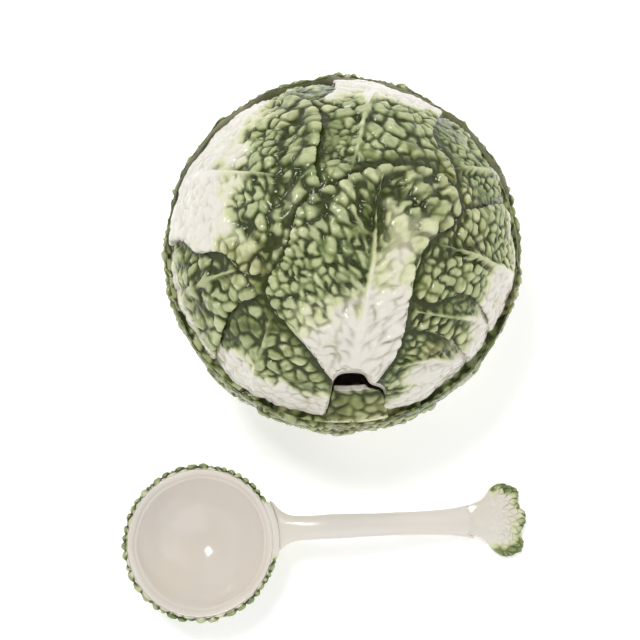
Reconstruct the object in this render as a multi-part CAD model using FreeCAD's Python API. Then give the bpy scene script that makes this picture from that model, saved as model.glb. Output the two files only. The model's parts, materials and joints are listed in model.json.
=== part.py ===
import FreeCAD, Part
import math
import os

# Soup tureen in the form of a savoy cabbage: a footed bowl wrapped in leaves, a domed lid of
# overlapping leaves with a ladle notch in its front rim, and a ladle lying in front of it.
# Millimetres. Origin at the centre of the foot's underside, +Z up, the notch towards -Y.

# bowl and lid castings
seam_height = 113.0          # the lid rests on the bowl's rim in this plane
wall = 5.0                   # thickness of the bowl and of the lid
lid_radius = 122.0           # lid core at the seam, under its leaves
lid_rise = 97.0              # lid core from the seam to the crown
shoulder_radius = 73.0       # arc from the lid's rim to its crown arc
bowl_radius = 125.0          # bowl core at its belly, under its leaves
bowl_corner = 78.0           # arc from the bowl's upright wall to its floor
bowl_floor = 8.0             # underside of the bowl's floor
seat_radius = 121.0          # outside of the rim that the lid rests on
seat_slope = 14.0            # height over which the bowl's core widens below that rim
rim_opening = 106.0          # radius of the mouth inside the thickened rim
rim_depth = 9.0              # height of the thickened rim's upright face
rim_taper = 12.0             # height over which the rim thins back to the wall

# foot
foot_outer = 74.0
foot_inner = 64.0
foot_chamfer = 1.5

# locating ring under the lid
ring_outer = 105.3
ring_inner = 101.0
ring_web = 4.0
ring_drop = 8.0

# leaves
lid_leaf_top = 7.9           # relief of the uppermost lid leaf over the core
collar_radius = 136.5        # outermost reach of the bowl's leaves
under_leaf = 1.5             # how much lower the covered bowl leaves lie
leaf_bottom = 5.0            # lowest point of the bowl's leaves
seat_gap = 0.5               # the bowl's leaves stay this far below and outside the lid

# ladle notch in the lid, open at its rim, and the bowl's front leaf that stands up into it
notch_outline = [            # seen from above
    (-15, -145), (-12, -124), (-8.5, -111), (-7, -105.5), (-3, -102), (3, -101), (10, -101),
    (14.5, -102.5), (17.5, -106), (27, -109), (31, -118), (33, -145)]
ring_break_left = -16.0      # the locating ring is interrupted behind the notch
ring_break_right = 34.0
tab_gap = 1.4                # clearance each side of the tab
tab_section = [              # radius from the axis, and height over the seam
    (106.5, 0.0), (105.0, 22.0), (107.0, 26.0), (111.0, 25.5), (127.0, 9.0), (136.5, -2.0),
    (135.5, -14.0), (125.0, -14.0), (121.0, 0.0)]

# ladle
ladle_x = -108.0
ladle_y = -213.0
ladle_rim_height = 45.0
ladle_rim_radius = 61.0
ladle_sphere_height = 58.0   # centre of the spheres that shape the ladle's bowl
ladle_leaf = 5.0             # leaf relief outside the ladle's bowl
ladle_wall = 4.5
handle_turn = 2.8            # degrees that the handle leans away from +X
handle_offset = 7.0          # the handle's axis passes this far behind the bowl's centre
finial_start = 209.0         # from the ladle bowl's centre, along the handle
finial_thickness = 13.0
finial_dome = 75.0           # radius of the finial's domed top
finial_crest = 20.0          # highest point of that dome, from the finial's start

far = 300.0                  # larger than the whole tureen, for cutting tools


def vector(x, y, z):
    return FreeCAD.Vector(x, y, z)


up = vector(0, 0, 1)
origin = vector(0, 0, 0)


def polygon_face(points):
    return Part.Face(Part.makePolygon(points + points[:1]))


def smooth_face(points):
    curve = Part.BSplineCurve()
    curve.interpolate(Points=points, PeriodicFlag=True)
    return Part.Face(Part.Wire([curve.toShape()]))


def turned(edges):
    return Part.Face(Part.Wire(edges)).revolve(origin, up, 360)


def line(start, end):
    return Part.makeLine(start, end)


def dome(offset):
    # solid dome over the seam plane, parallel to the lid core at the given distance
    shoulder_centre = lid_radius - shoulder_radius
    short = lid_rise - shoulder_radius
    crown_radius = (shoulder_centre ** 2 + lid_rise ** 2 - shoulder_radius ** 2) / (2 * short)
    crown_centre = lid_rise - crown_radius
    steep = math.atan2(-crown_centre, shoulder_centre)
    middle = (steep + math.pi / 2) / 2

    def on_shoulder(angle):
        reach = shoulder_radius + offset
        return vector(shoulder_centre + reach * math.cos(angle), 0, seam_height + reach * math.sin(angle))

    def on_crown(angle):
        reach = crown_radius + offset
        return vector(reach * math.cos(angle), 0, seam_height + crown_centre + reach * math.sin(angle))

    rim = on_shoulder(0)
    join = on_shoulder(steep)
    crown = vector(0, 0, seam_height + lid_rise + offset)
    foot = vector(0, 0, seam_height)
    shoulder = Part.Arc(rim, on_shoulder(steep / 2), join).toShape()
    cap = Part.Arc(join, on_crown(middle), crown).toShape()
    return turned([line(foot, rim), shoulder, cap, line(crown, foot)])


def bowl_solid(offset, top):
    # solid of the bowl's outer form, parallel to the bowl core at the given distance
    reach = bowl_corner + offset
    centre = bowl_radius - bowl_corner
    corner_height = bowl_floor + bowl_corner
    side = vector(centre + reach, 0, corner_height)
    rim = vector(centre + reach, 0, top)
    diagonal = reach / math.sqrt(2)
    middle = vector(centre + diagonal, 0, corner_height - diagonal)
    floor = vector(centre, 0, corner_height - reach)
    base = vector(0, 0, floor.z)
    crown = vector(0, 0, top)
    corner = Part.Arc(side, middle, floor).toShape()
    return turned([line(crown, rim), line(rim, side), corner, line(floor, base), line(base, crown)])


def notch_face(gap):
    # the notch seen from above, drawn in by the gap
    points = []
    for place, (x, y) in enumerate(notch_outline):
        before = notch_outline[place - 1]
        after = notch_outline[(place + 1) % len(notch_outline)]
        along = vector(after[0] - before[0], after[1] - before[1], 0).normalize()
        inward = along.cross(up)
        points.append(vector(x, y, seam_height) + inward * gap)
    return smooth_face(points)


def notch_tool():
    return notch_face(0).extrude(vector(0, 0, far))


def make_lid_shell():
    shell = dome(0).cut(dome(-wall))
    return shell.cut(notch_tool())


def make_locating_ring():
    # a web across the rim and a skirt that drops into the bowl's mouth, interrupted at the notch
    seam = vector(0, 0, seam_height)
    web = Part.makeCylinder(lid_radius, ring_web, seam).common(dome(-wall))
    web = web.cut(Part.makeCylinder(ring_inner, ring_web, seam))
    foot = vector(0, 0, seam_height - ring_drop)
    height = ring_drop + ring_web
    skirt = Part.makeCylinder(ring_outer, height, foot)
    skirt = skirt.cut(Part.makeCylinder(ring_inner, height, foot))
    width = ring_break_right - ring_break_left
    gap = Part.makeBox(width, far, height, vector(ring_break_left, -far, foot.z))
    return web.fuse(skirt).removeSplitter().cut(gap)


# Each lid leaf: name, relief over the core, plan outline. Upper leaves come first, and each one
# covers those after it. Outlines of lower leaves run on under their neighbours and past the rim.
lid_leaves = [
    ("lid_leaf_front", 7.9, [
        (4, -114), (-12, -103), (-24, -88), (-41, -72), (-52, -52), (-42, -33), (-34, -14),
        (-28, 4), (-10, 14), (18, 28), (44, 33), (70, 27), (81, 11), (72, -6), (59, -16),
        (48, -38), (43, -60), (38, -84), (22, -108)]),
    ("lid_leaf_left", 7.3, [
        (-40, 99), (-22, 86), (-18, 62), (-22, 36), (-20, 8), (-30, -12), (-36, -33),
        (-54, -41), (-72, -34), (-86, -20), (-102, -17), (-115, -4), (-150, 10), (-100, 110),
        (-62, 106)]),
    ("lid_leaf_crown", 6.8, [
        (-46, -18), (-44, 30), (-34, 70), (-20, 92), (-6, 104), (-8, 150), (72, 142), (68, 86),
        (63, 66), (76, 44), (74, 16), (40, -8), (0, -20)]),
    ("lid_leaf_lower_left", 6.8, [
        (-36, -20), (-44, -50), (-64, -54), (-80, -60), (-90, -76), (-112, -92), (-150, -50),
        (-150, 20), (-100, 10)]),
    ("lid_leaf_right", 6.8, [
        (50, -10), (45, -54), (62, -57), (80, -49), (96, -51), (108, -62), (150, -66),
        (150, 22), (103, 14), (88, 7), (70, 6)]),
    ("lid_leaf_front_right", 6.3, [
        (34, -40), (40, -76), (58, -75), (78, -80), (96, -88), (130, -110), (150, -60),
        (100, -40)]),
    ("lid_leaf_rim_right", 5.9, [
        (28, -70), (4, -118), (8, -150), (95, -140), (145, -95), (90, -66)]),
    ("lid_leaf_front_left", 6.3, [
        (-34, -52), (0, -60), (4, -150), (-90, -145), (-135, -90), (-84, -52), (-58, -48)]),
    ("lid_leaf_back_right", 6.3, [
        (40, 20), (50, 70), (62, 150), (145, 90), (150, 5), (90, -2)]),
    ("lid_leaf_back_left", 5.7, [
        (-20, 60), (2, 96), (4, 150), (-90, 140), (-110, 90), (-60, 70)]),
]


def outline_prism(points):
    face = smooth_face([vector(x, y, seam_height - 1) for x, y in points])
    return face.extrude(vector(0, 0, far))


def make_lid_leaves():
    core = dome(0)
    covers = [notch_tool()]
    leaves = {}
    for name, relief, points in lid_leaves:
        prism = outline_prism(points)
        leaf = dome(relief).cut(core).common(prism)
        for cover in covers:
            leaf = leaf.cut(cover)
        leaves[name] = leaf
        covers.append(prism)
    return leaves


def bowl_core():
    # solid outer form of the bowl shell, drawn in below the seat
    outside = bowl_solid(0, seam_height)
    beyond = bowl_radius + 1
    points = [
        vector(seat_radius, 0, seam_height), vector(bowl_radius, 0, seam_height - seat_slope),
        vector(beyond, 0, seam_height - seat_slope), vector(beyond, 0, seam_height)]
    return outside.cut(polygon_face(points).revolve(origin, up, 360))


def make_bowl_shell():
    cavity = bowl_solid(-wall, seam_height)
    inside = bowl_radius - wall
    taper_top = seam_height - rim_depth
    taper_bottom = taper_top - rim_taper
    rim_points = [
        vector(rim_opening, 0, seam_height), vector(inside + 1, 0, seam_height),
        vector(inside + 1, 0, taper_bottom), vector(inside, 0, taper_bottom),
        vector(rim_opening, 0, taper_top)]
    rim = polygon_face(rim_points).revolve(origin, up, 360)
    return bowl_core().cut(cavity.cut(rim))


def make_foot_ring():
    height = 2 * bowl_floor
    points = [
        vector(foot_inner + foot_chamfer, 0, 0), vector(foot_outer - foot_chamfer, 0, 0),
        vector(foot_outer, 0, foot_chamfer), vector(foot_outer, 0, height),
        vector(foot_inner, 0, height), vector(foot_inner, 0, foot_chamfer)]
    ring = polygon_face(points).revolve(origin, up, 360)
    return ring.cut(bowl_solid(0, seam_height))


# Each bowl leaf: name, direction in degrees from the front towards the right, half width, and
# height of its ruffled top, which stands up outside the lid. The first four lie over the others.
bowl_leaves = [
    ("bowl_leaf_front", 2, 66, 119),
    ("bowl_leaf_right", 92, 64, 121),
    ("bowl_leaf_back", 181, 66, 132),
    ("bowl_leaf_left", -91, 62, 119),
    ("bowl_leaf_front_right", 47, 70, 119),
    ("bowl_leaf_back_right", 136, 70, 131),
    ("bowl_leaf_back_left", -135, 70, 133),
    ("bowl_leaf_front_left", -44, 70, 119),
]
upper_leaves = 4

# Outline of a bowl leaf seen from outside, as fractions of its half width and its height: a
# narrow base at the foot and a broad waved top.
bowl_leaf_outline = [
    (-0.24, 0.0), (0.24, 0.0), (0.72, 0.28), (0.98, 0.62), (0.95, 0.86), (0.62, 0.97),
    (0.30, 0.94), (0.0, 1.0), (-0.32, 0.95), (-0.66, 0.98), (-0.97, 0.85), (-1.0, 0.6),
    (-0.70, 0.27)]


def leaf_prism(azimuth, half, top):
    height = top - leaf_bottom
    points = [vector(half * across, 0, leaf_bottom + height * rise) for across, rise in bowl_leaf_outline]
    prism = smooth_face(points).extrude(vector(0, -far, 0))
    return prism.rotate(origin, up, azimuth)


def lid_path():
    # the room the lid needs as it is lifted straight up
    radius = lid_radius + lid_leaf_top + seat_gap
    return Part.makeCylinder(radius, far, vector(0, 0, seam_height - seat_gap))


def make_tab():
    # the front leaf's raised middle, which fills the lower half of the notch
    points = [vector(radius, 0, seam_height + rise) for radius, rise in tab_section]
    ring = polygon_face(points).revolve(origin, up, 360)
    face = notch_face(tab_gap)
    face.translate(vector(0, 0, -seam_height))
    return ring.common(face.extrude(vector(0, 0, far)))


def make_bowl_leaves():
    core = bowl_core()
    foot_room = Part.makeCylinder(foot_outer, far, vector(0, 0, leaf_bottom - far))
    relief = collar_radius - bowl_radius
    above = Part.makeCylinder(far, far, vector(0, 0, leaf_bottom))
    covers = [core, lid_path(), foot_room, Part.makeCylinder(foot_outer, bowl_floor + wall)]
    leaves = {}
    for place, (name, azimuth, half, top) in enumerate(bowl_leaves):
        lower = 0 if place < upper_leaves else under_leaf
        prism = leaf_prism(azimuth, half, top)
        leaf = bowl_solid(relief - lower, top).common(above).common(prism)
        for cover in covers:
            leaf = leaf.cut(cover)
        if name == "bowl_leaf_front":
            leaf = leaf.fuse(make_tab())
        leaves[name] = leaf
        covers.append(prism)
    return leaves


def ladle_place():
    return vector(ladle_x, ladle_y, 0)


def along_handle(shape):
    # puts a shape drawn along +X from the ladle bowl's centre in its place
    shape.rotate(origin, up, handle_turn)
    shape.translate(ladle_place() + vector(0, handle_offset, 0))
    return shape


def ladle_cup(inset):
    # the ladle bowl's outer form, a sphere cut flat at the table and at the rim
    drop = ladle_sphere_height - ladle_rim_height
    radius = math.hypot(ladle_rim_radius, drop) - inset
    ball = Part.makeSphere(radius, ladle_place() + vector(0, 0, ladle_sphere_height))
    slab = Part.makeCylinder(far, ladle_rim_height, ladle_place())
    return ball.common(slab)


def make_ladle_bowl():
    return ladle_cup(ladle_leaf).cut(ladle_cup(ladle_leaf + ladle_wall))


def make_ladle_leaf_cup():
    return ladle_cup(0).cut(ladle_cup(ladle_leaf))


# Handle sections: distance from the bowl's centre, height, half width, half thickness
handle_sections = [
    (52, 35.5, 17.0, 5.0),
    (64, 38.5, 11.5, 5.2),
    (90, 41.5, 9.4, 5.2),
    (130, 37.5, 9.2, 5.0),
    (170, 24.5, 9.4, 4.8),
    (196, 11.5, 11.0, 4.8),
    (214, 6.5, 14.0, 4.6),
]

# Finial outline: distance from its start along the handle, and across it
finial_outline = [
    (0, -11), (14, -17), (24, -27), (35, -30), (44, -22), (46, -9), (48, 2), (45, 13),
    (43, 24), (34, 30), (23, 27), (13, 17), (0, 11), (-3, 0)]


def make_handle():
    wires = []
    for reach, height, half_width, half_thickness in handle_sections:
        ellipse = Part.Ellipse(origin, half_width, half_thickness).toShape()
        wire = Part.Wire([ellipse])
        wire.rotate(origin, vector(1, 0, 0), 90)
        wire.rotate(origin, up, 90)
        wire.translate(vector(reach, 0, height))
        wires.append(wire)
    handle = along_handle(Part.makeLoft(wires, True, False))
    return handle.cut(ladle_cup(0)).cut(make_finial())


def make_finial():
    # a fan-shaped leaf with a gently domed top
    face = smooth_face([vector(finial_start + along, across, 0) for along, across in finial_outline])
    leaf = face.extrude(vector(0, 0, finial_thickness))
    crest = vector(finial_start + finial_crest, 0, finial_thickness - finial_dome)
    return along_handle(leaf.common(Part.makeSphere(finial_dome, crest)))


os.makedirs("parts", exist_ok=True)
nodes = {
    "bowl_shell": make_bowl_shell(),
    "foot_ring": make_foot_ring(),
    "lid_shell": make_lid_shell(),
    "lid_locating_ring": make_locating_ring(),
    "ladle_bowl": make_ladle_bowl(),
    "ladle_leaf_cup": make_ladle_leaf_cup(),
    "ladle_handle": make_handle(),
    "ladle_leaf_finial": make_finial(),
}
nodes.update(make_bowl_leaves())
nodes.update(make_lid_leaves())
for name, shape in nodes.items():
    shape.exportStep("parts/" + name + ".step")
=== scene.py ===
import bpy, bmesh
import json, math
import numpy as np
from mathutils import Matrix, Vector
from mathutils.bvhtree import BVHTree


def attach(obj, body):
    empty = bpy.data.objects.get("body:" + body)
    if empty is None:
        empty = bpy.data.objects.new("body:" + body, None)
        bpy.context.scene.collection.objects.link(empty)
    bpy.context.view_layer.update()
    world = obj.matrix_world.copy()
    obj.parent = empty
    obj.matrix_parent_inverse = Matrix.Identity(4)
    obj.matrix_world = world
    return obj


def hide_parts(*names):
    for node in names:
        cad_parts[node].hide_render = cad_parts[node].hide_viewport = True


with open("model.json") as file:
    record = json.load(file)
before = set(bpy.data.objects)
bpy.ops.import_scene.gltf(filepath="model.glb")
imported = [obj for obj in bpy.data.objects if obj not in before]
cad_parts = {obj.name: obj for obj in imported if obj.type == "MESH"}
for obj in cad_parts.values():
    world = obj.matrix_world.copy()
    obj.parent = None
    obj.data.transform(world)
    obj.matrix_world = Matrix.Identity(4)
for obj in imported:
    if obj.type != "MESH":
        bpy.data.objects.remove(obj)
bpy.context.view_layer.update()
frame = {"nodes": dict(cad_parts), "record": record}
print("frame loaded")

# relief is worked out in millimetres from the tureen's axis, then written back in metres
mm = 0.001
voxelSize = 0.78
bodyOf = {node: body for body, nodes in frame["record"]["behaviour"]["bodies"].items() for node in nodes}

# arcs of the lid's and the bowl's core: where each arc's centre runs, and its radius
lidForm = {
    "ringRadius": 49.0, "ringHeight": 113.0, "shoulder": 73.0, "crownHeight": 75.0, "crown": 135.0,
    "edge": 129.9, "seam": 115.0, "seamRoom": 0.05, "edgeRoom": 0.3,
}
bowlForm = {"ringRadius": 47.0, "ringHeight": 86.0, "corner": 78.0}


def lidCore(points):
    # height over the lid's core and the core's outward direction
    radius = np.maximum(np.hypot(points[:, 0], points[:, 1]), 1e-6)
    steep = math.atan2(lidForm["ringHeight"] - lidForm["crownHeight"], lidForm["ringRadius"])
    onShoulder = np.arctan2(points[:, 2] - lidForm["ringHeight"], radius - lidForm["ringRadius"]) < steep
    scale = np.where(onShoulder, lidForm["ringRadius"] / radius, 0)
    centre = np.stack([points[:, 0] * scale, points[:, 1] * scale,
                       np.where(onShoulder, lidForm["ringHeight"], lidForm["crownHeight"])], axis=1)
    away = points - centre
    length = np.linalg.norm(away, axis=1)
    core = np.where(onShoulder, lidForm["shoulder"], lidForm["crown"])
    return length - core, away / length[:, None]


def bowlCore(points):
    radius = np.maximum(np.hypot(points[:, 0], points[:, 1]), 1e-6)
    upright = points[:, 2] > bowlForm["ringHeight"]
    scale = bowlForm["ringRadius"] / radius
    centre = np.stack([points[:, 0] * scale, points[:, 1] * scale,
                       np.where(upright, points[:, 2], bowlForm["ringHeight"])], axis=1)
    away = points - centre
    length = np.linalg.norm(away, axis=1)
    return length - bowlForm["corner"], away / length[:, None]


def onLid(plan, height):
    # plan points in millimetres lifted onto the lid at a height over its core
    plan = np.array(plan, float)
    radius = np.hypot(plan[:, 0], plan[:, 1])
    shoulder = lidForm["shoulder"] + height
    crown = lidForm["crown"] + height
    limit = lidForm["ringRadius"] + shoulder - lidForm["edgeRoom"]
    plan = plan * np.minimum(1, limit / np.maximum(radius, 1))[:, None]
    radius = np.minimum(radius, limit)
    steep = math.atan2(lidForm["ringHeight"] - lidForm["crownHeight"], lidForm["ringRadius"])
    join = crown * math.cos(steep)
    top = lidForm["crownHeight"] + np.sqrt(np.maximum(crown ** 2 - radius ** 2, 0))
    bulge = shoulder ** 2 - (radius - lidForm["ringRadius"]) ** 2
    side = lidForm["ringHeight"] + np.sqrt(np.maximum(bulge, 0))
    return np.column_stack([plan, np.where(radius < join, top, side)])


def onBowl(places, height):
    # (azimuth in degrees from the front, height over the table) on the bowl's leaves
    places = np.array(places, float)
    turn = np.radians(places[:, 0])
    reach = bowlForm["corner"] + height
    drop = np.clip(bowlForm["ringHeight"] - places[:, 1], 0, reach - 1)
    radius = bowlForm["ringRadius"] + np.sqrt(reach ** 2 - drop ** 2)
    return np.column_stack([radius * np.sin(turn), -radius * np.cos(turn), places[:, 1]])


def smooth(value, low, high):
    step = np.clip((value - low) / (high - low), 0, 1)
    return step * step * (3 - 2 * step)


def through(points, steps=12):
    # a smooth line through the points
    points = np.array(points, float)
    padded = np.vstack([2 * points[0] - points[1], points, 2 * points[-1] - points[-2]])
    line = []
    for a, b, c, d in zip(padded[:-3], padded[1:-2], padded[2:-1], padded[3:]):
        for step in np.arange(steps) / steps:
            line.append(0.5 * (2 * b + (c - a) * step + (2 * a - 5 * b + 4 * c - d) * step ** 2
                               + (3 * b - a - 3 * c + d) * step ** 3))
    line.append(points[-1])
    return np.array(line)


def nearest(points, targets, rows=20000):
    # distance to the nearest target and which one it is
    found, which = [], []
    for start in range(0, len(points), rows):
        part = points[start:start + rows].astype(np.float32)
        other = targets.astype(np.float32)
        gap = (part ** 2).sum(1)[:, None] + (other ** 2).sum(1)[None] - 2 * part @ other.T
        index = gap.argmin(1)
        which.append(index)
        found.append(np.sqrt(np.maximum(gap[np.arange(len(part)), index], 0)))
    return np.concatenate(found), np.concatenate(which)


def blocks(points, size):
    # row numbers of the points, gathered into cubes
    cube = np.floor(points / size).astype(int)
    key = (cube[:, 0] * 1009 + cube[:, 1]) * 1009 + cube[:, 2]
    order = np.argsort(key, kind="stable")
    return np.split(order, np.nonzero(np.diff(key[order]))[0] + 1)


def closeTo(points, targets, reach=26.0):
    # distance to the nearest target where that is within reach, and which one it is
    gap, which = np.full(len(points), 99.0), np.zeros(len(points), int)
    for rows in blocks(points, 20):
        part = points[rows]
        near = np.nonzero(((targets > part.min(0) - reach) & (targets < part.max(0) + reach)).all(1))[0]
        if len(near):
            gap[rows], found = nearest(part, targets[near])
            which[rows] = near[found]
    return gap, which


def ripple(points, size, seed):
    # smooth noise between -1 and 1 from a few turned sine waves
    draw = np.random.default_rng(seed)
    total = np.zeros(len(points))
    for turn in range(7):
        direction = draw.normal(size=3)
        direction *= draw.uniform(0.7, 1.5) / np.linalg.norm(direction)
        total += np.sin(points @ direction * 2 * math.pi / size + draw.uniform(0, 6.3)
                        + 1.7 * np.sin(points @ draw.normal(size=3) * 1.3 / size + draw.uniform(0, 6.3)))
    return total / 3.5


def copyNode(node, name, voxel):
    # a copy of the CAD sub-part with an even, closed mesh
    source = frame["nodes"][node]
    mesh = source.data.copy()
    shape = bmesh.new()
    shape.from_mesh(mesh)
    bmesh.ops.remove_doubles(shape, verts=shape.verts, dist=1e-6)
    shape.to_mesh(mesh)
    shape.free()
    mesh.materials.clear()
    piece = bpy.data.objects.new(name, mesh)
    bpy.context.scene.collection.objects.link(piece)
    remesh = piece.modifiers.new("evenMesh", "REMESH")
    remesh.mode = "VOXEL"
    remesh.voxel_size = voxel * mm
    even = bpy.data.meshes.new_from_object(piece.evaluated_get(bpy.context.evaluated_depsgraph_get()))
    piece.modifiers.clear()
    piece.data = even
    piece.data.name = name
    bpy.data.meshes.remove(mesh)
    return piece


def readPoints(mesh):
    points = np.empty(len(mesh.vertices) * 3)
    mesh.vertices.foreach_get("co", points)
    normals = np.empty(len(mesh.vertices) * 3)
    mesh.vertices.foreach_get("normal", normals)
    return points.reshape(-1, 3) / mm, normals.reshape(-1, 3)


def writePoints(mesh, points):
    mesh.vertices.foreach_set("co", (points * mm).ravel())
    mesh.polygons.foreach_set("use_smooth", np.ones(len(mesh.polygons), bool))
    mesh.update()


def paint(mesh, name, values):
    layer = mesh.attributes.new(name, "FLOAT", "POINT")
    layer.data.foreach_set("value", np.clip(values, 0, 1).astype(np.float32))


def spread(mesh, values, rounds):
    # average of each point with its neighbours, repeated
    edges = np.empty(len(mesh.edges) * 2, int)
    mesh.edges.foreach_get("vertices", edges)
    first, second = edges[::2], edges[1::2]
    count = np.bincount(first, minlength=len(values)) + np.bincount(second, minlength=len(values))
    for _ in range(rounds):
        total = np.bincount(first, values[second], len(values))
        total += np.bincount(second, values[first], len(values))
        values = 0.5 * values + 0.5 * total / np.maximum(count, 1)
    return values


def blisters(points, along, spacing, stretch, seed):
    # rounded cells: distance inside each cell's edge, and a random tone for each cell
    draw = np.random.default_rng(seed)
    order = draw.permutation(len(points))[:7000]
    seeds = np.empty((len(order), 3), np.float32)
    count = 0
    for index in order:
        gap = spacing[index] * draw.uniform(0.72, 1.12)
        if not count or (((seeds[:count] - points[index]) ** 2).sum(1) > gap ** 2).all():
            seeds[count] = points[index]
            count += 1
    seeds = seeds[:count]
    tones = draw.uniform(0, 1, count)
    inside, tone = np.zeros(len(points)), np.zeros(len(points))
    for rows in blocks(points, 24):
        part, way = points[rows].astype(np.float32), along[rows].astype(np.float32)
        squash = stretch[rows].astype(np.float32)
        reach = 1.6 * spacing[rows].max() * squash.max()
        close = np.nonzero(((seeds > part.min(0) - reach) & (seeds < part.max(0) + reach)).all(1))[0]
        if len(close) < 3:
            close = np.argsort(((seeds - part.mean(0)) ** 2).sum(1))[:4]
        some = seeds[close]
        gap = (part ** 2).sum(1)[:, None] + (some ** 2).sum(1)[None] - 2 * part @ some.T
        run = (part * way).sum(1)[:, None] - way @ some.T
        gap = np.sqrt(np.maximum(gap - (1 - 1 / squash[:, None] ** 2) * run ** 2, 0))
        two = np.argpartition(gap, 1, axis=1)[:, :2]
        index = np.arange(len(part))
        first, second = gap[index, two[:, 0]], gap[index, two[:, 1]]
        inside[rows] = np.abs(second - first)
        tone[rows] = tones[close[np.where(first <= second, two[:, 0], two[:, 1])]]
    return inside, tone


# what every leaf shares, in millimetres: sides and neighbours, blister depths, margins
relief = {
    "sidePoints": 900, "sideSlope": 0.55, "touching": 0.8,
    "blister": 3.3, "smallBlister": 1.1, "blisterSpread": 1.3, "taper": 3.6,
    "tuckReach": 5.5, "dipReach": 12.0, "hemReach": 6.0, "edgeDrop": 2.6, "edgeReach": 1.6,
    # the last reach is the width of the painted shade beside sides that run under an upper leaf
    "overhangReach": 3.5, "skin": 0.15, "shadeReach": 4.2,
}


def wallSamples(points, normals, outward, height, top, seed):
    # points on the leaf's cut sides, and the way each side faces
    facing = np.abs((normals * outward).sum(1))
    wall = np.nonzero((facing < relief["sideSlope"]) & (height > 0.3 * top) & (height < 0.95 * top))[0]
    draw = np.random.default_rng(seed)
    wall = draw.permutation(wall)[:relief["sidePoints"]]
    away = normals[wall] - (normals[wall] * outward[wall]).sum(1)[:, None] * outward[wall]
    return points[wall], away / np.linalg.norm(away, axis=1)[:, None]


def coverTrees(nodes):
    trees = []
    for node in nodes:
        mesh = frame["nodes"][node].data
        corners = [vertex.co for vertex in mesh.vertices]
        trees.append(BVHTree.FromPolygons(corners, [face.vertices for face in mesh.polygons]))
    return trees


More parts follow.
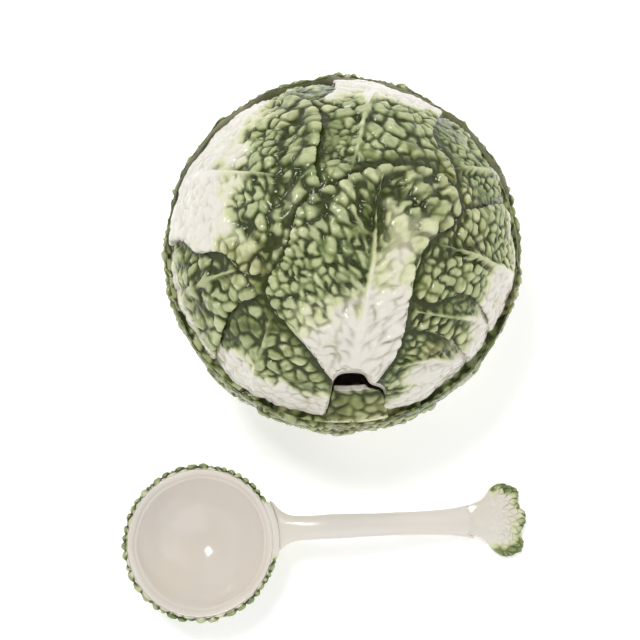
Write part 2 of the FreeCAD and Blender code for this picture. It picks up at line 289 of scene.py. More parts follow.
def shapeLeaf(leaf, core, lift, covers):
    name = leaf["node"]
    piece = copyNode(name, leaf["name"], voxelSize * leaf["meshSize"])
    mesh = piece.data
    points, normals = readPoints(mesh)
    height, outward = core(points)
    top = leaf["relief"]
    seed = leaf["seed"]

    # sides of the leaf, and which of them lie under a neighbour
    walls, sideways = wallSamples(points, normals, outward, height, top, seed)
    covered = np.zeros(len(walls), bool)
    touching = relief["touching"] * mm
    for tree in coverTrees(covers):
        for index, wall in enumerate(walls):
            if not covered[index] and tree.find_nearest(Vector(wall * mm), touching)[0] is not None:
                covered[index] = True
    far = np.full(len(points), 99.0)
    ownGap, ownWall = closeTo(points, walls[~covered]) if (~covered).any() else (far, None)
    coverGap = closeTo(points, walls[covered])[0] if covered.any() else far

    # midrib: distance along it and to each side of it
    rib = through(lift(leaf["rib"], top), 14)
    run = np.concatenate([[0], np.cumsum(np.linalg.norm(np.diff(rib, axis=0), axis=1))])
    tangent = np.gradient(rib, axis=0)
    tangent /= np.linalg.norm(tangent, axis=1)[:, None]
    _, which = nearest(points, rib)
    offset = points - rib[which]
    beyond = (offset * tangent[which]).sum(1)
    along = run[which] + beyond
    side = np.cross(tangent[which], outward)
    across = (offset * side).sum(1)
    hand = np.sign(across) + (across == 0)
    reach = np.abs(across)
    length = run[-1]
    part = np.clip(along / length, 0, 1.2)

    # side veins leave the rib at an angle and bend towards the margin
    lean = np.radians(leaf["lean"]) + 0.006 * reach
    way = tangent[which] * np.cos(lean)[:, None] + side * (hand * np.sin(lean))[:, None]
    way -= (way * outward).sum(1)[:, None] * outward
    way /= np.linalg.norm(way, axis=1)[:, None]
    wander = 2.2 * ripple(points, 38, seed + 5)
    start = along - reach / np.tan(lean) + wander
    draw = np.random.default_rng(seed + 1)
    vein = np.full(len(points), 99.0)
    for direction in (-1, 1):
        place = draw.uniform(2, 8)
        while place < length * 1.05:
            gap = np.abs(start - place) * np.sin(lean)
            vein = np.where(hand == direction, np.minimum(vein, gap), vein)
            place += leaf["veinGap"] * draw.uniform(0.75, 1.3)
    veinFade = np.clip(1.15 - reach / leaf["veinReach"], 0, 1) * np.clip(1.25 - part, 0, 1)
    veinRidge = np.exp(-(vein / leaf["veinWidth"]) ** 2) * veinFade
    ribWidth = leaf["ribWidth"] * np.clip(1.05 - part, 0.12, 1)
    ribRidge = np.exp(-(reach / ribWidth) ** 2) * smooth(1.1 - part, 0, 0.25)

    # green share: the leaf's base is white, and white runs up the ribs and veins
    whiteReach = np.where(hand > 0, leaf["whiteRight"], leaf["whiteLeft"]) - leaf["whiteSlope"] * reach
    whiteReach += 9 * ripple(points, 30, seed + 8) + 4 * ripple(points, 11, seed + 9)
    green = smooth(along - whiteReach, -6, leaf["whiteFade"])
    quiet = leaf["calmBase"] * (1 - smooth(green, 0, 0.7))
    for patch in leaf["pale"]:
        gap = nearest(points, through(lift(patch["line"], top), 8))[0]
        green *= 1 - patch["amount"] * np.exp(-(gap / patch["width"]) ** 2)

    # blisters, long beside the rib and round towards the margin
    nearRib = np.exp(-reach / leaf["stretchReach"])
    stretch = 1 + leaf["stretch"] * nearRib
    spacing = leaf["cell"] * (1 + 0.28 * ripple(points, 55, seed + 2))
    folds = [(nearest(points, through(lift(fold["line"], top), 10))[0], fold) for fold in leaf["folds"]]
    for gap, fold in folds:
        spacing = spacing * (1 + fold.get("coarse", 0) * np.exp(-(gap / fold["width"]) ** 2))
    warped = points + 1.6 * np.stack([ripple(points, 12, seed + n) for n in (11, 12, 13)], 1)
    inside, tone = blisters(warped, way, spacing, stretch, seed + 3)
    small, smallTone = blisters(warped, way, spacing * 0.5, stretch, seed + 4)
    puff = 1 - (1 - np.clip(inside / (0.72 * spacing), 0, 1)) ** leaf["dome"]
    smallPuff = 1 - (1 - np.clip(small / (0.40 * spacing), 0, 1)) ** 2.0
    calm = np.clip(1 - ribRidge, 0, 1) * (1 - quiet)
    puff, smallPuff = (spread(mesh, value, leaf["soften"]) for value in (puff, smallPuff))
    uneven = np.clip(0.9 + 0.55 * ripple(points, 19, seed + 6), 0.25, 1.5)
    bumps = relief["blister"] * uneven * (1 - puff)
    bumps += relief["smallBlister"] * (1 - smallPuff) * (0.3 + puff) + relief["blisterSpread"] * (1 - tone)
    bumps *= calm
    bumps -= leaf["ribHeight"] * ribRidge + leaf["veinHeight"] * veinRidge
    floor = leaf["floor"]
    depth = leaf["sag"] * (1 + ripple(points, 46, seed + 7))
    # fold ridges and valleys, used only for painted highlight and painted shade in the glaze
    foldLightAndShade = np.zeros(len(points))
    for gap, fold in folds:
        depth -= fold["height"] * np.exp(-(gap / fold["width"]) ** 2)
        foldLightAndShade += np.clip(fold["height"] / 2.4, -1, 1) * np.exp(-(gap / (0.75 * fold["width"])) ** 2)
    depth += leaf["tuck"] * np.exp(-(coverGap / relief["tuckReach"]) ** 1.5)
    depth += leaf["dip"] * np.exp(-coverGap / relief["dipReach"])
    depth = np.clip(depth, 0, top - floor - 0.2 - 1.5 * (1 - np.exp(-(coverGap / 5) ** 2)))
    # how deep the surface lies, used only for painted shade in the glaze
    low = smooth(depth / (top - floor), 0.35, 0.85)
    depth += bumps * np.clip((top - floor - depth) / relief["taper"], 0.35, 1)
    depth -= leaf["hem"] * np.exp(-(ownGap / relief["hemReach"]) ** 2)
    depth += relief["edgeDrop"] * np.exp(-(ownGap / relief["edgeReach"]) ** 2)
    depth = np.maximum(depth, relief["skin"] + 0.25 * (1 - puff))
    level = np.maximum(top - depth, floor)
    fixed = leaf["keep"](points) if "keep" in leaf else np.zeros(len(points))
    scale = fixed + (1 - fixed) * (level / top)
    moved = points + outward * (height * (scale - 1))[:, None]
    facing = smooth(0.7 * (normals * outward).sum(1) + 0.7 * normals[:, 2], 0.5, 0.9)
    moved -= normals * (fixed * facing * (0.3 + 1.7 * (1 - puff)))[:, None]
    sideFace = fixed * smooth(0.4 - np.abs(normals[:, 2]), 0, 0.2) * smooth(np.abs(normals[:, 0]), 0.6, 0.9)
    moved += normals * (sideFace * leaf["fill"])[:, None]

    # the free margin bulges sideways over its neighbours
    if ownWall is not None:
        free = ~covered
        push = np.exp(-(ownGap / relief["overhangReach"]) ** 2) * np.clip(height / top, 0, 1)
        push *= (0.4 + 1.5 * puff) * leaf["overhang"]
        push *= (1 - fixed) * (1 - leaf["still"](points) if "still" in leaf else 1)
        moved += sideways[free][ownWall] * push[:, None]
    if "limit" in leaf:
        moved = leaf["limit"](moved, points, puff)
    writePoints(mesh, moved)

    # glaze: green share; the hollows darker, partly glaze pooled there and partly painted shade in
    # crevices, fold valleys, deep parts and under the leaves above; the tops lighter, partly thin glaze and
    # partly painted highlight on crests and fold ridges; tone of each blister
    surface = top * scale - fixed * 1.7 * (1 - puff)
    broad = spread(mesh, surface, leaf["blur"])
    poolAndShade = np.clip((broad - surface) / 1.8, 0, 1) * 0.6 + 0.85 * calm * uneven * (1 - puff) ** 2.4
    # painted shade: darker in a band beside the sides that run under an upper leaf
    poolAndShade += 0.25 * (1 - smallPuff) ** 2 + 0.9 * np.exp(-(coverGap / relief["shadeReach"]) ** 2)
    # painted shade on the deep parts and in the folds' valleys
    poolAndShade += 0.22 * low + 0.4 * np.maximum(-foldLightAndShade, 0)
    # paler blister tops: partly thinner glaze, partly painted highlight
    thinGlazeAndHighlight = 0.65 * smooth(puff, 0.25, 0.95) * (0.25 + 0.75 * tone)
    thinGlazeAndHighlight += 0.5 * np.clip((surface - broad) / 1.3, 0, 1)
    # painted light: a paler cast over the whole leaf, less on the deep parts, and painted highlight on the
    # folds' ridges
    thinGlazeAndHighlight += leaf["light"] - 0.45 * low + 0.22 * foldLightAndShade
    green = np.minimum(green, 1 - 0.85 * ribRidge * smooth(leaf["whiteLong"] - along, -25, 10))
    green = np.minimum(green, 1 - 0.7 * veinRidge * smooth(leaf["whiteLong"] * 0.8 - along, -30, 10))
    if "bare" in leaf:
        green *= 1 - leaf["bare"](points)
    # painted light: the collar's inner face, which lies in shade beside the lid, is painted paler and
    # lighter
    if "inner" in leaf:
        lit = leaf["inner"](points)
        green, poolAndShade, thinGlazeAndHighlight = green * (1 - 0.8 * lit), poolAndShade * (1 - 0.95 * lit), thinGlazeAndHighlight + 0.9 * lit
    paint(mesh, "green", green)
    paint(mesh, "poolAndShade", poolAndShade)
    paint(mesh, "thinGlazeAndHighlight", thinGlazeAndHighlight)
    paint(mesh, "tone", 0.6 * tone + 0.4 * smallTone)
    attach(piece, bodyOf[name])
    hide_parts(name)
    piece.data.materials.append(leafGlaze)
    print(leaf["name"], len(mesh.vertices), "points")
    return piece


def shaderNodes(name):
    material = bpy.data.materials.new(name)
    material.use_nodes = True
    nodes = material.node_tree.nodes
    nodes.clear()
    output = nodes.new("ShaderNodeOutputMaterial")
    shader = nodes.new("ShaderNodeBsdfPrincipled")
    material.node_tree.links.new(shader.outputs["BSDF"], output.inputs["Surface"])
    return material, nodes, material.node_tree.links, shader


def mixColour(nodes, links, factor, first, second):
    mix = nodes.new("ShaderNodeMix")
    mix.data_type = "RGBA"
    for value, socket in ((first, mix.inputs["A"]), (second, mix.inputs["B"])):
        if isinstance(value, tuple):
            socket.default_value = (*value, 1)
        else:
            links.new(value, socket)
    if isinstance(factor, float):
        mix.inputs["Factor"].default_value = factor
    else:
        links.new(factor, mix.inputs["Factor"])
    return mix.outputs["Result"]


def attribute(nodes, name):
    node = nodes.new("ShaderNodeAttribute")
    node.attribute_name = name
    return node.outputs["Fac"]


def ramp(nodes, links, value, low, high, start=0.0, end=1.0):
    node = nodes.new("ShaderNodeMapRange")
    node.interpolation_type = "SMOOTHSTEP"
    links.new(value, node.inputs["Value"])
    node.inputs["From Min"].default_value = low
    node.inputs["From Max"].default_value = high
    node.inputs["To Min"].default_value = start
    node.inputs["To Max"].default_value = end
    return node.outputs["Result"]


def maths(nodes, links, operation, first, second):
    node = nodes.new("ShaderNodeMath")
    node.operation = operation
    for value, socket in ((first, node.inputs[0]), (second, node.inputs[1])):
        if isinstance(value, float):
            socket.default_value = value
        else:
            links.new(value, socket)
    return node.outputs["Value"]


def noise(nodes, links, scale, detail, roughness):
    place = nodes.new("ShaderNodeTexCoord")
    node = nodes.new("ShaderNodeTexNoise")
    node.inputs["Scale"].default_value = scale
    node.inputs["Detail"].default_value = detail
    node.inputs["Roughness"].default_value = roughness
    links.new(place.outputs["Object"], node.inputs["Vector"])
    return node.outputs["Fac"]


def bump(nodes, links, shader, value, distance):
    node = nodes.new("ShaderNodeBump")
    node.inputs["Strength"].default_value = 1
    node.inputs["Distance"].default_value = distance
    links.new(value, node.inputs["Height"])
    links.new(node.outputs["Normal"], shader.inputs["Normal"])


def gloss(shader, look):
    shader.inputs["IOR"].default_value = look["ior"]
    shader.inputs["Coat Weight"].default_value = look["coat"]
    shader.inputs["Coat Roughness"].default_value = look["coatRoughness"]


# the deep and pool colours darken the hollows, partly as pooled glaze and partly as painted shade
leafPaint = {
    "cream": (0.73, 0.70, 0.63), "blush": (0.66, 0.56, 0.46), "pale": (0.66, 0.68, 0.40),
    "leaf": (0.180, 0.235, 0.072), "olive": (0.165, 0.175, 0.036), "deep": (0.022, 0.032, 0.002),
    "blue": (0.095, 0.175, 0.066), "pool": (0.36, 0.31, 0.18),
    "brushScale": 55, "broadScale": 14, "fineScale": 260, "bump": 0.00012,
    "ior": 1.35, "coat": 0.12, "coatRoughness": 0.04, "smoothest": 0.10, "roughest": 0.24,
}


def makeLeafGlaze():
    material, nodes, links, shader = shaderNodes("leafGlaze")
    green, poolAndShade = attribute(nodes, "green"), attribute(nodes, "poolAndShade")
    thinGlazeAndHighlight, tone = attribute(nodes, "thinGlazeAndHighlight"), attribute(nodes, "tone")
    brush = noise(nodes, links, leafPaint["brushScale"], 4, 0.62)
    broad = noise(nodes, links, leafPaint["broadScale"], 2, 0.5)
    fine = noise(nodes, links, leafPaint["fineScale"], 3, 0.6)
    # green glaze, bluer on some blisters and paler on their tops, partly thinner glaze there and partly
    # painted highlight
    warm = mixColour(nodes, links, ramp(nodes, links, broad, 0.40, 0.66),
                     leafPaint["leaf"], leafPaint["olive"])
    cool = mixColour(nodes, links, ramp(nodes, links, tone, 0.55, 1.0, 0.0, 0.6),
                     warm, leafPaint["blue"])
    lightness = maths(nodes, links, "ADD", ramp(nodes, links, thinGlazeAndHighlight, 0.15, 0.90, 0.0, 0.80),
                      ramp(nodes, links, brush, 0.45, 0.75, 0.0, 0.34))
    shade = ramp(nodes, links, tone, 0, 0.8, 1.0, 0.55)
    lit = mixColour(nodes, links, maths(nodes, links, "MULTIPLY", lightness, shade),
                    cool, leafPaint["pale"])
    # cream glaze, warmer and darker in the hollows, partly glaze pooling there and partly painted shade
    white = mixColour(nodes, links, ramp(nodes, links, broad, 0.45, 0.75, 0.0, 0.35),
                      leafPaint["cream"], leafPaint["blush"])
    creamPoolShaded = mixColour(nodes, links, ramp(nodes, links, poolAndShade, 0.1, 1.0, 0.0, 0.7),
                          white, leafPaint["pool"])
    streak = maths(nodes, links, "ADD", green, ramp(nodes, links, brush, 0.3, 0.7, -0.16, 0.16))
    body = mixColour(nodes, links, ramp(nodes, links, streak, 0.02, 0.5), creamPoolShaded, leafPaint["pale"])
    body = mixColour(nodes, links, ramp(nodes, links, streak, 0.30, 0.85), body, lit)
    # near-black in the hollows of the green: partly pooled glaze, partly painted shade in crevices and
    # under the leaves above
    poolShadeAmount = maths(nodes, links, "MULTIPLY", ramp(nodes, links, poolAndShade, 0.03, 0.70),
                   ramp(nodes, links, green, 0.05, 0.8, 0.06, 0.94))
    body = mixColour(nodes, links, poolShadeAmount, body, leafPaint["deep"])
    links.new(body, shader.inputs["Base Color"])
    rough = ramp(nodes, links, fine, 0.3, 0.8, leafPaint["smoothest"], leafPaint["roughest"])
    links.new(rough, shader.inputs["Roughness"])
    gloss(shader, leafPaint)
    bump(nodes, links, shader, fine, leafPaint["bump"])
    return material


whitePaint = {
    "cool": (0.745, 0.685, 0.605), "warm": (0.705, 0.665, 0.615), "broadScale": 16, "fineScale": 120,
    "bump": 0.0012, "ior": 1.42, "coat": 0.2, "coatRoughness": 0.04, "smoothest": 0.12, "roughest": 0.22,
}


def makeWhiteGlaze():
    material, nodes, links, shader = shaderNodes("whiteGlaze")
    broad = noise(nodes, links, whitePaint["broadScale"], 3, 0.5)
    fine = noise(nodes, links, whitePaint["fineScale"], 2, 0.5)
    body = mixColour(nodes, links, ramp(nodes, links, broad, 0.35, 0.70),
                     whitePaint["cool"], whitePaint["warm"])
    links.new(body, shader.inputs["Base Color"])
    rough = ramp(nodes, links, fine, 0.3, 0.8, whitePaint["smoothest"], whitePaint["roughest"])
    links.new(rough, shader.inputs["Roughness"])
    gloss(shader, whitePaint)
    bump(nodes, links, shader, broad, whitePaint["bump"])
    return material


leafGlaze = makeLeafGlaze()
whiteGlaze = makeWhiteGlaze()
print("glazes made")


def leafSettings(name, node, height, seed, rib, **other):
    leaf = {
        "name": name, "node": node, "relief": height, "seed": seed, "rib": rib, "folds": [], "pale": [],
        "lean": 42, "veinGap": 13, "veinReach": 75, "veinWidth": 1.5, "veinHeight": 1.1,
        "ribWidth": 4.5, "ribHeight": 1.8, "cell": 9.0, "stretch": 1.2, "stretchReach": 26,
        "calmBase": 0.45, "dome": 2.6, "light": 0.2, "sag": 1.7, "tuck": 4.4, "dip": 2.2, "hem": 1.2,
        "overhang": 1.5, "floor": 0.8, "fill": 0, "meshSize": 1.0,
        "blur": 38, "soften": 5,
        "whiteLeft": 30, "whiteRight": 30, "whiteSlope": 0.3, "whiteFade": 40, "whiteLong": 90,
    }
    leaf.update(other)
    return leaf


notch = {"middle": 6, "halfWidth": 26, "back": -80, "top": 170}


def nearNotch(points):
    # leaf margins beside the notch and along the lid's rim stay straight
    inNotch = np.abs(points[:, 0] - notch["middle"]) < notch["halfWidth"]
    inNotch &= (points[:, 1] < notch["back"]) & (points[:, 2] < notch["top"])
    return np.where(inNotch | (points[:, 2] < lidForm["seam"]), 1.0, 0.0)


def lidLimit(moved, points, puff):
    # the lid's leaves stay over the seam and clear of the bowl's collar
    lowest = np.minimum(points[:, 2], lidForm["ringHeight"] + lidForm["seamRoom"])
    moved[:, 2] = np.maximum(moved[:, 2], lowest)
    radius = np.hypot(moved[:, 0], moved[:, 1])
    moved[:, :2] *= np.minimum(1, lidForm["edge"] / np.maximum(radius, 1))[:, None]
    return moved


# from the uppermost leaf down; every line is seen from above, in millimetres
lidLeaves = [
    leafSettings(
        "frontLidLeaf", "lid_leaf_front", 7.9, 21,
        [(7, -113), (8, -95), (10, -80), (14, -62), (18, -42), (20, -22), (22, 0), (26, 24)],
        ribWidth=4.6, ribHeight=1.7, whiteLeft=46, whiteRight=70, whiteSlope=0.6, whiteFade=56,
        whiteLong=92, cell=8.6, stretch=2.8, stretchReach=40, calmBase=0.35, lean=34,
        folds=[
            {"line": [(-22, 4), (-6, 12), (10, 21), (28, 27), (46, 28), (64, 23)],
             "width": 8, "height": 2.2, "coarse": 0.6},
            {"line": [(58, 20), (70, 14), (74, 4)], "width": 9, "height": 2.4, "coarse": 0.8},
            {"line": [(-26, -16), (-14, -6), (0, 0)], "width": 8, "height": 1.8, "coarse": 0.5},
            {"line": [(24, 8), (40, 12), (58, 6)], "width": 6, "height": -2.6},
            {"line": [(10, 4), (12, -6), (20, -12)], "width": 3.5, "height": -2.2},
            {"line": [(24, 4), (26, -8), (29, -20)], "width": 3.2, "height": -4.2},
            {"line": [(34, -12), (46, -8), (58, -12)], "width": 10, "height": 2.2, "coarse": 0.6},
            {"line": [(30, 8), (33, -2), (30, -12)], "width": 3.5, "height": 1.5},
        ],
        pale=[{"line": [(36, -10), (50, -8), (58, -14)], "width": 12, "amount": 0.5},
              {"line": [(38, -26), (32, -50), (28, -80)], "width": 14, "amount": 0.75},
              # the pale streak on the raised fold at (30, 6) is a painted highlight on that fold's ridge
              {"line": [(30, 6), (34, 0)], "width": 6, "amount": 0.5}]),
    leafSettings(
        "leftLidLeaf", "lid_leaf_left", 7.3, 34,
        [(-128, 46), (-112, 42), (-96, 38), (-78, 35), (-60, 30), (-46, 27)],
        ribWidth=5.5, ribHeight=1.2, whiteLeft=72, whiteRight=76, whiteSlope=0.10, whiteFade=40,
        whiteLong=92, cell=8.8, stretch=1.3, calmBase=0.6, lean=48,
        folds=[
            {"line": [(-34, 88), (-30, 70), (-29, 52), (-33, 34), (-35, 18), (-34, 4), (-38, -10),
                      (-42, -24)],
             "width": 8, "height": 2.4, "coarse": 1.3},
            {"line": [(-42, 66), (-46, 44), (-46, 26), (-50, 8), (-52, -8)], "width": 5, "height": -2.4},
            {"line": [(-90, 0), (-74, -12), (-62, -28)], "width": 6, "height": 1.6, "coarse": 1.0},
            {"line": [(-78, -2), (-64, -14), (-54, -26)], "width": 4, "height": -1.8},
            {"line": [(-72, 4), (-58, -10), (-48, -26)], "width": 5, "height": 1.2, "coarse": 0.8},
        ],
        pale=[{"line": [(-84, -4), (-66, -22)], "width": 7, "amount": 0.6},
              {"line": [(-36, 14), (-38, 0)], "width": 8, "amount": 0.4}]),
    leafSettings(
        "crownLidLeaf", "lid_leaf_crown", 6.8, 47,
        [(30, 122), (26, 108), (20, 92), (14, 72), (10, 50), (4, 26), (0, 6)],
        whiteLeft=36, whiteRight=52, whiteSlope=0.1, whiteFade=18, whiteLong=40, cell=7.6, stretch=0.4,
        ribHeight=0.2, veinHeight=0.4, veinGap=18, calmBase=0.6,
        folds=[
            {"line": [(-16, 84), (0, 78), (20, 76), (38, 70), (52, 58)],
             "width": 11, "height": 2.0, "coarse": 0.9},
            {"line": [(-18, 46), (0, 38), (20, 34), (44, 38), (62, 36)],
             "width": 9, "height": -1.6, "coarse": -0.18},
            {"line": [(-19, 84), (-16, 70), (-18, 56)], "width": 3.5, "height": -2.6},
            {"line": [(44, 54), (56, 50), (66, 46)], "width": 6, "height": 1.2, "coarse": 0.5},
        ],
        pale=[{"line": [(0, 40), (14, 26), (-8, 22)], "width": 14, "amount": 0.18}]),
    leafSettings(
        "lowerLeftLidLeaf", "lid_leaf_lower_left", 6.8, 58,
        [(-122, -44), (-108, -42), (-92, -38), (-74, -36), (-58, -34)],
        whiteLeft=6, whiteRight=2, whiteSlope=0.0, whiteFade=14, whiteLong=14, cell=13.5, stretch=0.5,
        ribHeight=0.4, veinGap=17,
        folds=[{"line": [(-96, -24), (-96, -38), (-90, -54)], "width": 8, "height": 1.2},
               {"line": [(-84, -22), (-76, -34), (-72, -52)], "width": 7, "height": 1.2},
               {"line": [(-104, -30), (-104, -46), (-98, -62)], "width": 3.5, "height": -1.6}],
        pale=[{"line": [(-118, -62), (-104, -76), (-96, -86)], "width": 10, "amount": 0.9}]),
    leafSettings(
        "rightLidLeaf", "lid_leaf_right", 6.8, 69,
        [(127, -28), (112, -26), (96, -24), (80, -22), (64, -20)],
        whiteLeft=40, whiteRight=10, whiteSlope=0.0, whiteFade=26, whiteLong=44, cell=9.0, stretch=0.6,
        veinGap=15,
        folds=[{"line": [(78, -6), (92, 0), (108, 4)], "width": 7, "height": 1.0},
               {"line": [(70, -30), (80, -20), (94, -16)], "width": 4, "height": -1.4}],
        pale=[{"line": [(124, -40), (112, -52)], "width": 12, "amount": 0.85}]),
    leafSettings(
        "frontRightLidLeaf", "lid_leaf_front_right", 6.3, 71,
        [(114, -62), (98, -64), (80, -66), (60, -66), (46, -66)],
        whiteLeft=36, whiteRight=34, whiteSlope=0.0, whiteFade=30, whiteLong=56, cell=8.2, stretch=0.9,
        veinGap=12),
    leafSettings(
        "rimRightLidLeaf", "lid_leaf_rim_right", 5.9, 83,
        [(96, -88), (82, -92), (64, -94), (46, -98), (30, -102)],
        whiteLeft=56, whiteRight=26, whiteSlope=-0.5, whiteFade=26, whiteLong=60, cell=7.8, stretch=1.4,
        veinGap=10, lean=30),
    leafSettings(
        "frontLeftLidLeaf", "lid_leaf_front_left", 6.3, 95,
        [(-66, -112), (-62, -98), (-56, -84), (-52, -70), (-50, -58)],
        whiteLeft=34, whiteRight=24, whiteSlope=-0.05, whiteFade=14, whiteLong=10, cell=9.8, stretch=0.5,
        ribHeight=0.2, veinHeight=0.3, veinGap=16,
        folds=[{"line": [(-78, -72), (-62, -74), (-46, -78)], "width": 4, "height": -1.0}]),
    leafSettings(
        "backRightLidLeaf", "lid_leaf_back_right", 6.3, 107,
        [(118, 52), (104, 46), (88, 42), (72, 36), (60, 30)],
        whiteLeft=-6, whiteRight=0, whiteSlope=0.0, whiteFade=18, whiteLong=10, cell=8.4, stretch=1.0,
        veinGap=11),
    leafSettings(
        "backLeftLidLeaf", "lid_leaf_back_left", 5.7, 119,
        [(-44, 121), (-38, 112), (-30, 104), (-20, 98)],
        whiteLeft=-8, whiteRight=-8, whiteSlope=0.0, whiteFade=10, whiteLong=5, cell=11, stretch=0.3,
        ribHeight=0.2, veinGap=16),
]

for index, leaf in enumerate(lidLeaves):
    leaf["still"] = nearNotch
    leaf["limit"] = lidLimit
    shapeLeaf(leaf, lidCore, onLid, [cover["node"] for cover in lidLeaves[:index]])
print("lid leaves made")


collar = {
    "inner": 130.35, "seam": 112.3, "ruffle": 11.0, "ruffleDip": 3.0, "lobe": 0.9, "recess": 0.009,
    "lowest": 4.0, "stillAbove": 100, "shelfHeight": 138.2, "shelfReach": 112,
}


def tabArea(points):
    # the front leaf's raised tab and the collar's inner face keep their CAD shape
    inside = (points[:, 2] > collar["seam"]) & (np.hypot(points[:, 0], points[:, 1]) < collar["inner"])
    return inside.astype(float)


def tabShelf(points):
    # the tab's flat top is left white
    reach = np.hypot(points[:, 0], points[:, 1])
    return tabArea(points) * (points[:, 2] > collar["shelfHeight"]) * (reach < collar["shelfReach"])


def innerFace(points):
    # the side of the collar that faces the lid; on the bowl leaves it is also painted paler, as painted
    # light on a face that lies in shade
    radius = np.hypot(points[:, 0], points[:, 1])
    return smooth(points[:, 2], 112, 115) * smooth(132.5 - radius, 0, 1.5) * smooth(radius, 129.9, 130.2)


def collarLimit(moved, points, puff, top):
    # ruffled top edge outside the lid
    rise = np.clip((points[:, 2] - top + collar["ruffle"]) / collar["ruffle"], 0, 1)
    rise *= 1 - tabArea(points)
    lobes = collar["lobe"] + 0.12 * max(top - 119, 0)
    moved[:, 2] -= rise * (collar["ruffleDip"] * (1 - puff) + lobes * (1 + ripple(points, 34, 5)))
    outer = (points[:, 2] > collar["seam"]) & (tabArea(points) < 0.5)
    moved[:, :2] *= (1 + innerFace(points) * outer * (1 - puff) * collar["recess"])[:, None]
    radius = np.hypot(moved[:, 0], moved[:, 1])
    factor = np.where(outer, np.maximum(1, collar["inner"] / np.maximum(radius, 1)), 1)
    moved[:, :2] *= factor[:, None]
    moved[:, 2] = np.maximum(moved[:, 2], collar["lowest"])
    return moved


# direction in degrees from the front, and height of the ruffled top
bowlDirections = {
    "front": (2, 119), "right": (92, 121), "back": (181, 132), "left": (-91, 119),
    "front_right": (47, 119), "back_right": (136, 131), "back_left": (-135, 133), "front_left": (-44, 119),
}
for index, (place, (azimuth, top)) in enumerate(bowlDirections.items()):
    upper = index < 4
    words = place.split("_")
    pieceName = words[0] + "".join(word.title() for word in words[1:]) + "BowlLeaf"
    covers = ["bowl_leaf_" + other for other in list(bowlDirections)[:4]] if not upper else []
    lean = 5 if index % 2 else -4
    leaf = leafSettings(
        pieceName, "bowl_leaf_" + place, 11.5 if upper else 10.0, 211 + 17 * index,
        [(azimuth, 9), (azimuth, 22), (azimuth + lean, 44), (azimuth + lean, 70), (azimuth, 94),
         (azimuth - lean, 112)],
        whiteSlope=0.45, whiteLong=96, cell=9.8, stretch=0.6, ribWidth=6.5,
        dome=1.9, light=0.08, meshSize=1.28, soften=3, blur=24,
        ribHeight=1.6, veinHeight=1.4, veinGap=16, veinWidth=2.0, tuck=1.5, hem=0.2, overhang=1.6,
        keep=tabArea, floor=6.8 if upper else 6.4, fill=0.75, inner=innerFace, bare=tabShelf,
        limit=lambda moved, points, puff, top=top: collarLimit(moved, points, puff, top))
    leaf["still"] = lambda points: np.where(points[:, 2] > collar["stillAbove"], 0.75, 0.0)
    shapeLeaf(leaf, bowlCore, onBowl, covers)
print("bowl leaves made")


for node in ("bowl_shell", "foot_ring", "lid_shell", "lid_locating_ring"):
    frame["nodes"][node].data.materials.clear()
    frame["nodes"][node].data.materials.append(whiteGlaze)
print("white parts glazed")


ladle = {
    "centre": (-108.0, -213.0), "rim": 45.0, "sphereHeight": 58.0, "sphere": 62.37, "leaf": 5.0,
    "wall": 4.5, "ruffleDepth": 2.6, "ruffleDip": 2.2, "rimRound": 3.4, "stemRoot": 57, "flare": 17,
    "turn": 2.8, "offset": 7.0, "cell": 7.5,
    "ribs": 17, "finialCell": 5.4, "finialStart": 209.0, "finialLength": 48.0, "finialThickness": 13.0,
}


def finishPiece(piece, node, glaze):
    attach(piece, bodyOf[node])
    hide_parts(node)
    piece.data.materials.append(glaze)
    print(piece.name, len(piece.data.vertices), "points")


def ladlePlan(points):
    # along the handle from the bowl's centre, and across it
    turn = math.radians(ladle["turn"])
    east, north = points[:, 0] - ladle["centre"][0], points[:, 1] - ladle["centre"][1]
    along = east * math.cos(turn) + north * math.sin(turn)
    across = north * math.cos(turn) - east * math.sin(turn) - ladle["offset"]
    return along, across


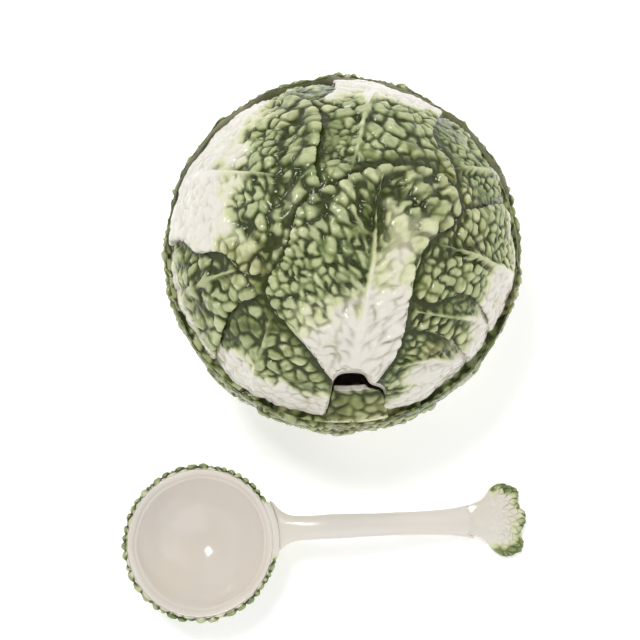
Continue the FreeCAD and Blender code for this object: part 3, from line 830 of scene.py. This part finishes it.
def makeLadleCup():
    piece = copyNode("ladle_leaf_cup", "ladleRuffle", voxelSize * 1.25)
    mesh = piece.data
    points, _ = readPoints(mesh)
    centre = np.array([*ladle["centre"], ladle["sphereHeight"]])
    away = points - centre
    distance = np.linalg.norm(away, axis=1)
    outward = away / distance[:, None]
    inner = ladle["sphere"] - ladle["leaf"]
    height = distance - inner
    along, across = ladlePlan(points)
    neck = smooth(along, 40, 54) * smooth(26 - np.abs(across), 0, 9)
    upright = np.cross(np.cross(outward, (0.0, 0.0, 1.0)), outward)
    upright /= np.maximum(np.linalg.norm(upright, axis=1), 1e-6)[:, None]
    spacing = ladle["cell"] * (1 + 0.2 * ripple(points, 40, 301))
    warped = points + 0.9 * np.stack([ripple(points, 11, n) for n in (302, 303, 304)], 1)
    inside, tone = blisters(warped, upright, spacing, np.full(len(points), 1.5), 305)
    puff = 1 - (1 - np.clip(inside / (0.8 * spacing), 0, 1)) ** 2.3
    depth = (1 - neck) * (0.3 + ladle["ruffleDepth"] * (1 - puff) + 0.7 * (1 - tone))
    foot = smooth(points[:, 2], 1, 9)
    level = (ladle["leaf"] - depth * foot) / ladle["leaf"]
    moved = points + outward * (height * (level - 1))[:, None]
    top = smooth(points[:, 2], 36, 45)
    outerEdge = smooth(height, 1, 5)
    dip = (1 - neck) * (0.2 + ladle["ruffleDip"] * (1 - puff))
    moved[:, 2] -= top * (dip + 1.8 * outerEdge * outerEdge)
    writePoints(mesh, moved)
    surface = ladle["leaf"] * level
    broad = spread(mesh, surface, 16)
    ring = smooth(height, 0.4, 1.6)
    green = ring * (0.55 + 0.45 * smooth(points[:, 2], 8, 30)) * (0.8 + 0.2 * ripple(points, 20, 306))
    paint(mesh, "green", (1 - neck) * green)
    # darker where the surface lies below its surroundings, partly pooled glaze and partly painted shade;
    # lighter where it stands above them, partly thin glaze and partly painted highlight
    paint(mesh, "poolAndShade", (1 - neck) * ((broad - surface) / 1.3 + 0.25))
    paint(mesh, "thinGlazeAndHighlight", (surface - broad) / 1.2)
    paint(mesh, "tone", tone)
    finishPiece(piece, "ladle_leaf_cup", leafGlaze)


def makeLadleBowl():
    piece = copyNode("ladle_bowl", "ladleCup", voxelSize * 1.3)
    mesh = piece.data
    points, _ = readPoints(mesh)
    centre = np.array([*ladle["centre"], ladle["sphereHeight"]])
    distance = np.linalg.norm(points - centre, axis=1)
    inner = ladle["sphere"] - ladle["leaf"] - ladle["wall"]
    share = np.clip((distance - inner) / ladle["wall"], 0, 1)
    top = smooth(points[:, 2], ladle["rim"] - 8, ladle["rim"])
    along, across = ladlePlan(points)
    neck = smooth(along, 30, 56) * smooth(24 - np.abs(across), 0, 14)
    moved = points.copy()
    moved[:, 2] -= top * (ladle["rimRound"] * (1 - share) ** 1.6 + 0.5 + 0.9 * neck)
    outward = (points - centre) / distance[:, None]
    moved += outward * ((1 - share) * 0.45 * ripple(points, 34, 311))[:, None]
    writePoints(mesh, moved)
    finishPiece(piece, "ladle_bowl", whiteGlaze)


def makeLadleHandle():
    piece = copyNode("ladle_handle", "ladleStem", voxelSize)
    mesh = piece.data
    points, normals = readPoints(mesh)
    moved = points - normals * (0.12 + 0.18 * ripple(points, 26, 321))[:, None]
    along, across = ladlePlan(points)
    # the stem flares where it leaves the bowl
    root = 0.5 * (1 - np.clip((along - ladle["stemRoot"]) / ladle["flare"], 0, 1)) ** 2
    turn = math.radians(ladle["turn"])
    moved[:, 0] -= math.sin(turn) * across * root * 0.95
    moved[:, 1] += math.cos(turn) * across * root * 0.95
    moved[:, 2] -= root * np.clip(np.abs(across) / 12, 0, 1) ** 2 * 2.5
    for axis in range(3):
        moved[:, axis] = spread(mesh, moved[:, axis], 3)
    writePoints(mesh, moved)
    finishPiece(piece, "ladle_handle", whiteGlaze)


def makeFinial():
    piece = copyNode("ladle_leaf_finial", "ladleFan", voxelSize * 0.8)
    mesh = piece.data
    points, _ = readPoints(mesh)
    along, across = ladlePlan(points)
    run = along - ladle["finialStart"]
    angle = np.arctan2(across, run + 16)
    reach = np.hypot(across, run + 16) / (ladle["finialLength"] + 16)
    ridges = 0.5 + 0.5 * np.cos(angle * ladle["ribs"] + 1.2 * ripple(points, 16, 331))
    lobes = 0.5 + 0.5 * np.cos(angle * ladle["ribs"] + 0.9 * ripple(points, 12, 332))
    spacing = np.full(len(points), ladle["finialCell"])
    radial = np.column_stack([np.cos(angle), np.sin(angle), np.zeros(len(angle))])
    inside, tone = blisters(points + 0.6 * np.stack([ripple(points, 8, n) for n in (333, 334, 335)], 1),
                            radial, spacing, np.full(len(points), 1.9), 336)
    puff = 1 - (1 - np.clip(inside / (0.8 * spacing), 0, 1)) ** 2.3
    edge = smooth(reach, 0.45, 0.95)
    inset = smooth(reach, 0.55, 1.0) * (2.6 * (1 - lobes)) + 1.4 * edge * (1 - puff)
    middle = smooth(7 - np.abs(across), 0, 6) * smooth(run, 8, 30)
    sink = smooth(run, 2, 16) * (1.1 * (1 - ridges) + edge * 2.0 * (1 - puff) + 1.3 * middle)
    moved = points.copy()
    turn = math.radians(ladle["turn"])
    pull = np.column_stack([np.cos(angle + turn), np.sin(angle + turn), np.zeros(len(angle))])
    moved -= pull * inset[:, None]
    moved[:, 2] -= points[:, 2] / ladle["finialThickness"] * sink
    writePoints(mesh, moved)
    surface = -sink - 0.5 * inset
    broad = spread(mesh, surface, 10)
    tips = smooth(reach, 0.78, 1.02) * 0.75 + smooth(np.abs(across), 14, 27) * 0.8
    paint(mesh, "green", tips * (0.85 + 0.3 * ripple(points, 9, 337)))
    # darker where the surface lies below its surroundings, partly pooled glaze and partly painted shade;
    # lighter where it stands above them, partly thin glaze and partly painted highlight
    paint(mesh, "poolAndShade", (broad - surface) / 1.2)
    paint(mesh, "thinGlazeAndHighlight", (surface - broad) / 1.2)
    paint(mesh, "tone", tone)
    finishPiece(piece, "ladle_leaf_finial", leafGlaze)


makeLadleCup()
makeLadleBowl()
makeLadleHandle()
makeFinial()
print("ladle made")


studio = {
    "floor": (0.95, 0.95, 0.95), "floorGlow": 0.3, "floorSize": 6, "floorDrop": 0.0005,
    "horizon": 0.96, "zenith": 0.30, "target": (0, 0, 0.1),
    "lights": [("windowLight", (-0.5, 0.5, 1.8), (0.4, 0.55), 15),
               ("frontLight", (0.6, -1.4, 1.5), (1.8, 1.4), 7),
               ("sideLight", (1.4, 0.6, 1.4), (1.4, 1.4), 4)],
    "lens": 66.5, "sensor": 36, "tilt": 1.36, "camera": (-0.0165, -0.2359, 0.9625),
}


def makeFloor():
    shape = bmesh.new()
    bmesh.ops.create_grid(shape, x_segments=1, y_segments=1, size=studio["floorSize"])
    bmesh.ops.translate(shape, verts=shape.verts, vec=(0, 0, -studio["floorDrop"]))
    mesh = bpy.data.meshes.new("floor")
    shape.to_mesh(mesh)
    shape.free()
    floor = bpy.data.objects.new("floor", mesh)
    bpy.context.scene.collection.objects.link(floor)
    material, _, _, shader = shaderNodes("paleFloor")
    shader.inputs["Base Color"].default_value = (*studio["floor"], 1)
    shader.inputs["Roughness"].default_value = 0.9
    shader.inputs["Specular IOR Level"].default_value = 0.1
    shader.inputs["Emission Color"].default_value = (1, 1, 1, 1)
    shader.inputs["Emission Strength"].default_value = studio["floorGlow"]
    floor.data.materials.append(material)


def areaLight(name, place, size, power):
    light = bpy.data.lights.new(name, "AREA")
    light.shape = "RECTANGLE"
    light.size, light.size_y = size
    light.energy = power
    lamp = bpy.data.objects.new(name, light)
    lamp.location = place
    lamp.rotation_euler = (Vector(studio["target"]) - Vector(place)).to_track_quat("-Z", "Y").to_euler()
    bpy.context.scene.collection.objects.link(lamp)


def makeStudio():
    makeFloor()
    world = bpy.data.worlds.new("studioAir")
    world.use_nodes = True
    # bright walls and a dimmer ceiling
    nodes, links = world.node_tree.nodes, world.node_tree.links
    place = nodes.new("ShaderNodeTexCoord")
    split = nodes.new("ShaderNodeSeparateXYZ")
    links.new(place.outputs["Generated"], split.inputs["Vector"])
    strength = ramp(nodes, links, split.outputs["Z"], 0.35, 0.95, studio["horizon"], studio["zenith"])
    links.new(strength, nodes["Background"].inputs["Strength"])
    nodes["Background"].inputs["Color"].default_value = (1, 1, 1, 1)
    bpy.context.scene.world = world
    for light in studio["lights"]:
        areaLight(*light)


def makeCamera():
    camera = bpy.data.objects.new("camera", bpy.data.cameras.new("camera"))
    camera.data.lens = studio["lens"]
    camera.data.sensor_width = studio["sensor"]
    camera.location = studio["camera"]
    camera.rotation_euler = (math.pi / 2 - studio["tilt"], 0, 0)
    bpy.context.scene.collection.objects.link(camera)
    bpy.context.scene.camera = camera


makeStudio()
makeCamera()
bpy.context.scene.view_settings.view_transform = "Standard"
print("studio made")
